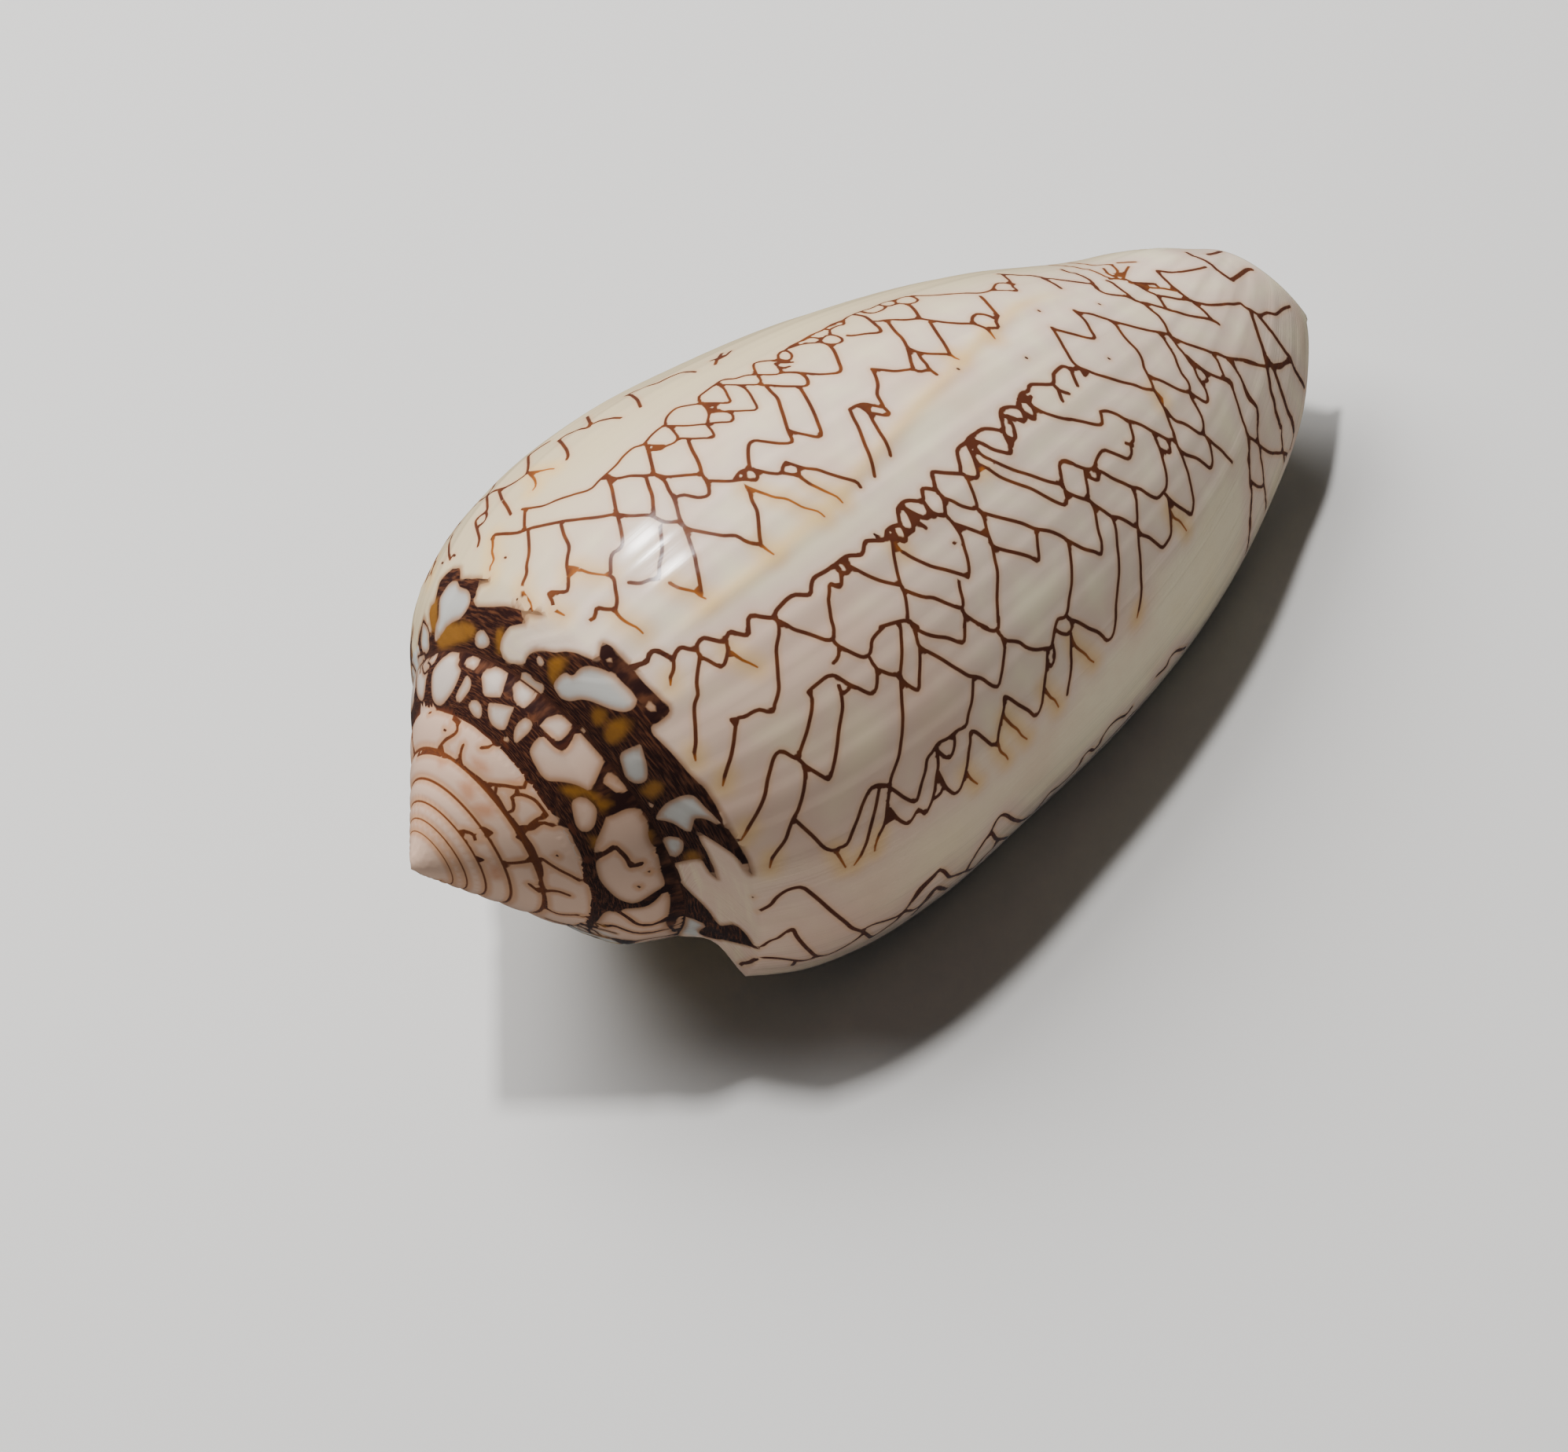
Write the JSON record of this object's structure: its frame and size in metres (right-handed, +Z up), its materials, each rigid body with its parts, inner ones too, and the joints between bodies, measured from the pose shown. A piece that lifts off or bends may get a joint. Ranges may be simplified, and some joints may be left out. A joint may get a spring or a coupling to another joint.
{
  "type": "textile cone seashell",
  "caption": "Right-handed cone shell with a low pointed spire, a long tapering last whorl and a narrow slit mouth, lying mouth down.",
  "frame": {"origin": "middle of the bounding box at the level of the surface that the shell lies on", "axes": "+X from the apex towards the front end, +Z up, the mouth faces down and slightly towards -Y"},
  "size_m": [0.081, 0.0412, 0.0379],
  "materials": {
    "shell": "glossy cream-white porcelain with a net of fine brown lines, in place of natural shell"
  },
  "bodies": {
    "root": {"shell": "shell"}
  },
  "joints": []
}
